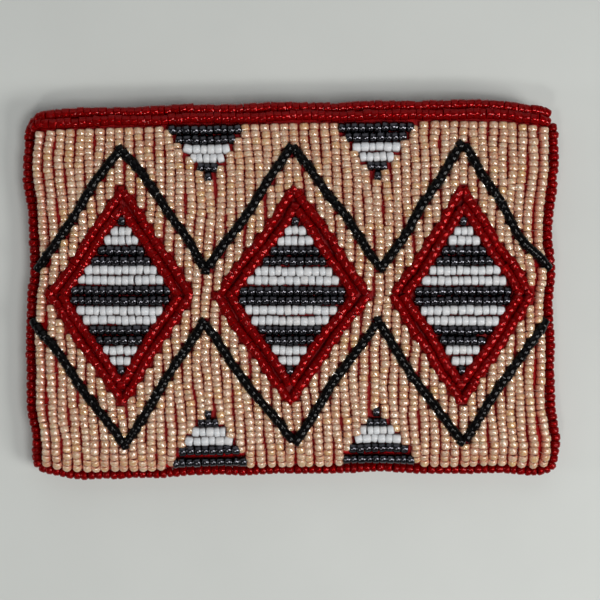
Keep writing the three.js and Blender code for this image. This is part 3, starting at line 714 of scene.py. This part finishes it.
def make_triangles():
    """Border triangles: level pairs of gunmetal, white and gunmetal strings, from the border to the tip."""
    for half, side, base in (("upper", 1, FIELD_HIGH), ("lower", -1, FIELD_LOW)):
        for name, centre in VALLEYS.items():
            strings = Strings()
            for row in range(TRIANGLE_ROWS):
                depth = (row + 0.5) * ROW_PITCH
                reach = (TRIANGLE_ROWS * ROW_PITCH - depth) * TRIANGLE_SLOPE
                q = base - side * depth
                strings.add(*line((centre - reach, q), (centre + reach, q)), kind=row // 2 % 2,
                            wander=STRIPE_WANDER)
            strings.make(f"triangle_{half}_{name}_beads", [GUNMETAL, WHITE], f"triangle_{half}_{name}",
                         "striped_beads", bead=STRIPE_BEAD, lean=STRIPE_LEAN)


def make_mouth_rows():
    """A level red string along the mouth, inside the one that edges it."""
    strings = Strings()
    for row in range(MOUTH_ROWS):
        q = MOUTH_HIGH + MOUTH_CLOSE - (row + 0.5) * ROW_PITCH * ROLLED
        strings.add(*line((-FIELD_P, q), (FIELD_P, q)))
    strings.make("mouth_row_beads", [RED], "mouth_rows", "red_beads", bead=MOUTH_BEAD)


def make_edging():
    """Strings of red beads on the front's edges, by both sides, the bottom and the mouth; all but the
    mouth's are a little loose and tilted. The bottom's turns up in a quarter circle round both corners,
    and the mouth's turns down round the left one."""
    turn = np.linspace(0.0, np.pi / 2, CORNER_STEPS)
    corner_p, corner_q = CORNER_TURN * (1 - np.sin(turn)), CORNER_TURN * (1 - np.cos(turn))
    bottom = line((-EDGE_P + CORNER_TURN, EDGE_Q), (EDGE_P - CORNER_TURN, EDGE_Q))
    mouth = line((-EDGE_P + CORNER_TURN, LIP_Q), (EDGE_P - CORNER_FREE, LIP_Q))
    low, high = EDGE_Q + CORNER_TURN, LIP_Q - CORNER_TURN
    sides = {
        "left": line((-EDGE_P, low), (-EDGE_P, high)),
        "right": line((EDGE_P, low), (EDGE_P, LIP_Q - CORNER_FREE)),
        "bottom": (np.concatenate([-EDGE_P + corner_p[::-1], bottom[0], EDGE_P - corner_p]),
                   np.concatenate([EDGE_Q + corner_q[::-1], bottom[1], EDGE_Q + corner_q])),
        "mouth": (np.concatenate([-EDGE_P + corner_p[::-1], mouth[0]]),
                  np.concatenate([LIP_Q - corner_q[::-1], mouth[1]])),
    }
    for name, path in sides.items():
        strings = Strings()
        strings.add(*path, pitch=EDGE_PITCH)
        bead, lean = (MOUTH_BEAD, MOUTH_LEAN) if name == "mouth" else (ROUND_BEAD, EDGE_LEAN)
        strings.make(f"{name}_edging_beads", [RED], f"{name}_edging", "red_beads", bead=bead,
                     lean=lean)


# Cloth

def make_panel(name, surface, p_stops, q_stops, under, over, node):
    """A closed layer of cloth between two lifts off a surface, its weave laid out along the cloth."""
    p, q = np.meshgrid(p_stops, q_stops)
    columns, rows = len(p_stops), len(q_stops)
    sheet = columns * rows
    points = np.concatenate([lifted(surface, p, q, np.full(p.shape, lift))[0].reshape(-1, 3)
                             for lift in (over, under)])
    index = np.arange(sheet).reshape(rows, columns)
    a, b = index[:-1, :-1].ravel(), index[:-1, 1:].ravel()
    c, d = index[1:, 1:].ravel(), index[1:, :-1].ravel()
    rim = np.concatenate([index[0, :-1], index[:-1, -1], index[-1, :0:-1], index[:0:-1, 0]])
    following = np.roll(rim, -1)
    faces = np.concatenate([
        np.stack([a, b, c, d], axis=1),
        np.stack([a, d, c, b], axis=1) + sheet,
        np.stack([rim + sheet, following + sheet, following, rim], axis=1)])
    uv = np.tile(np.stack([p.ravel(), q.ravel()], axis=1), (2, 1))
    piece = make_piece(name, points, [faces], [RED_CLOTH], uv=uv)
    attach(piece, "root")
    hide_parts(node)
    return piece


def make_panels():
    """The front panel under the beads, and the back panel that the purse lies on."""
    front_p, front_low = SEAM_P + SEAM_LAP, SEAM_Q - SEAM_LAP
    front = make_panel("front_panel", front_surface, np.linspace(-front_p, front_p, PANEL_COLUMNS),
                       np.linspace(front_low, LIP_Q, PANEL_ROWS), -CLOTH, GAP, "front_cloth")
    2 * front_p * MM
    (LIP_Q - front_low) * MM
    back_p = BACK_FLAT_X + BACK_ROLL * SEAM_ANGLE
    back_low = BACK_FLAT_LOW - BACK_ROLL * SEAM_ANGLE
    back = make_panel("back_panel", back_surface, np.linspace(-back_p, back_p, PANEL_COLUMNS),
                      np.linspace(back_low, RIM_Y, PANEL_ROWS), 0.0, CLOTH, "back_cloth")
    2 * back_p * MM
    (RIM_Y - back_low) * MM


# Zip

def rounded_section(width, thickness, sides, power=BAR_SQUARENESS):
    """A superellipse round the origin: sideways and up, with corners rounder for a lower power."""
    turn = (np.arange(sides) + 0.5) * 2 * np.pi / sides
    wave = np.stack([np.cos(turn), np.sin(turn)], axis=-1)
    return np.sign(wave) * np.abs(wave) ** (2 / power) * (width / 2, thickness / 2)


def rounded_bar(length, width, thickness, rings, sides):
    """A bar along x whose section shrinks to rounded ends: rings of points x, out and up."""
    along = np.sin(np.linspace(-np.pi / 2, np.pi / 2, rings))
    shrink = np.maximum(1 - np.abs(along) ** BAR_SHOULDER, BAR_TIP) ** (1 / BAR_SQUARENESS)
    section = rounded_section(thickness, width, sides)
    bar = np.empty((rings, sides, 3))
    bar[..., 0] = (along * length / 2)[:, None]
    bar[..., 1:] = shrink[:, None, None] * section
    return bar


class Solids:
    """Closed tubes of rings, gathered into one piece with a material for each."""

    def __init__(self):
        self.points, self.quads, self.caps = [], [], []
        self.kinds, self.cap_kinds = [], []
        self.count = 0

    def add(self, rings, kind):
        """Tubes with flat ends: an array of copies, rings, sides and x, out, up."""
        copy_count, ring_count, sides = rings.shape[:3]
        each = ring_count * sides
        tube = copies(ring_faces(ring_count, sides, closed=False), copy_count, each) + self.count
        caps = copies(end_caps(ring_count, sides), copy_count, each) + self.count
        self.points.append(rings.reshape(-1, 3))
        self.quads.append(tube)
        self.caps.append(caps)
        self.kinds.append(np.full(len(tube), kind))
        self.cap_kinds.append(np.full(len(caps), kind))
        self.count += copy_count * each


def make_zip():
    """The closed zip: woven tape, two rows of teeth that mesh, slider and pull, bent to the mouth."""
    solids = Solids()
    tape_height = ZIP_CEILING - ZIP_FLOOR
    stations = np.linspace(-ZIP_LENGTH / 2, ZIP_LENGTH / 2, TAPE_STATIONS)
    section = rounded_section(ZIP_TAPE, tape_height, TAPE_SIDES, power=TAPE_SQUARENESS)
    tape = np.empty((1, TAPE_STATIONS, TAPE_SIDES, 3))
    tape[..., 0] = stations[:, None]
    tape[..., 1:] = section
    solids.add(tape, 0)

    tooth = rounded_bar(TOOTH["length"] * TOOTH_PITCH, TOOTH["width"] * ZIP_CHAIN["width"],
                        ZIP_CHAIN["thickness"], rings=5, sides=8)
    reach = ZIP_LENGTH / 2 - 2 * ZIP_TAPE
    for side in (-1, 1):
        places = np.arange(-reach + (1 + side) * TOOTH_PITCH / 4, reach, TOOTH_PITCH)
        offsets = np.zeros((len(places), 1, 1, 3))
        offsets[:, 0, 0, 0] = places
        offsets[..., 2] = side * TOOTH["aside"] * ZIP_CHAIN["width"]
        solids.add(tooth[None] + offsets, 1)

    slider_at = ZIP_LENGTH / 2 - ZIP_SLIDER["from_end"]
    slider = rounded_bar(ZIP_SLIDER["length"], ZIP_SLIDER["width"], ZIP_SLIDER["thickness"],
                         rings=13, sides=20)
    along = slider[..., 0] / (SLIDER_WAIST["reach"] * ZIP_SLIDER["length"])
    slider[..., 2] *= 1 - SLIDER_WAIST["depth"] * np.exp(-along ** 2)
    solids.add((slider + (slider_at, 0.0, 0.0))[None], 1)
    pull = rounded_bar(ZIP_PULL["length"], ZIP_PULL["width"], ZIP_PULL["thickness"], rings=15, sides=16)
    pull[..., 2] *= 1 - PULL_WAIST * (1 - np.abs(2 * pull[..., 0] / ZIP_PULL["length"]))
    pull_out = (ZIP_SLIDER["thickness"] + ZIP_PULL["thickness"]) / 2 - GAP
    solids.add((pull + (slider_at - ZIP_PULL["length"] / 2, pull_out, 0.0))[None], 1)

    points = np.concatenate(solids.points)
    level = np.full(len(points), ZIP_LEVEL)
    uv = points[:, [0, 2]]
    shift = settle(points[:, 0], level)[1] - level
    points = points + np.stack([np.zeros(len(points)), level + shift,
                                np.full(len(points), (ZIP_FLOOR + ZIP_CEILING) / 2)], axis=1)
    piece = make_piece("zip_closure", points, [np.concatenate(solids.quads), *solids.caps],
                       [ZIP_TAPE_CLOTH, ZIP_METAL],
                       face_material=np.concatenate(solids.kinds + solids.cap_kinds), uv=uv)
    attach(piece, "root")
    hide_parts("zip")


# Stage

def make_floor():
    """A plain pale table top with a faint mottle."""
    g = Graph("table", Roughness=0.55)
    place = g.node("ShaderNodeTexCoord", {}, output=3)
    mottle = g.noise(place, MOTTLE_SCALE, 3.0)
    material = g.shade(Base_Color=g.mix(mottle, srgb(190, 193, 189), srgb(198, 201, 197)))
    half = TABLE_HALF / MM
    corners = np.array([(-half, -half, 0.0), (half, -half, 0.0), (half, half, 0.0), (-half, half, 0.0)])
    floor = make_piece("floor", corners, [np.array([[0, 1, 2, 3]])], [material])


def aim(target, place):
    """The turn that points a lamp or camera from a place to a target, its top towards +Y."""
    back = unit(np.subtract(place, target))
    right = unit(np.cross((0.0, 1.0, 0.0), back))
    return Matrix(np.stack([right, np.cross(back, right), back], axis=1)).to_euler()


def add_light(name, place, size, power, colour):
    """A square soft light aimed at the middle of the purse."""
    lamp = bpy.data.lights.new(name, "AREA")
    lamp.size, lamp.energy, lamp.color = size, power, colour
    light = bpy.data.objects.new(name, lamp)
    light.location, light.rotation_euler = place, aim(PURSE_MIDDLE, place)
    bpy.context.scene.collection.objects.link(light)


def make_stage():
    """Table, soft light from the right and above, a broad pale one from beyond the mouth, two small lamps
    at the left, and the camera overhead."""
    make_floor()
    for name, lamp in LAMPS.items():
        add_light(name, **lamp)
    world = bpy.context.scene.world or bpy.data.worlds.new("world")
    bpy.context.scene.world = world
    world.use_nodes = True
    background = world.node_tree.nodes["Background"]
    background.inputs["Color"].default_value = ROOM_COLOUR
    background.inputs["Strength"].default_value = ROOM_STRENGTH
    lens = bpy.data.cameras.new("camera")
    lens.lens, lens.clip_start = LENS, NEAREST
    camera = bpy.data.objects.new("camera", lens)
    place = CAMERA_TARGET + CAMERA_DISTANCE * np.array([0.0, math.sin(CAMERA_TILT), math.cos(CAMERA_TILT)])
    camera.location, camera.rotation_euler = place, aim(CAMERA_TARGET, place)
    bpy.context.scene.collection.objects.link(camera)
    bpy.context.scene.camera = camera
    bpy.context.scene.view_settings.view_transform = "Standard"


make_stage()
make_panels()
make_ground()
make_diamonds()
make_zigzags()
make_triangles()
make_mouth_rows()
make_edging()
make_stitches()
make_zip()
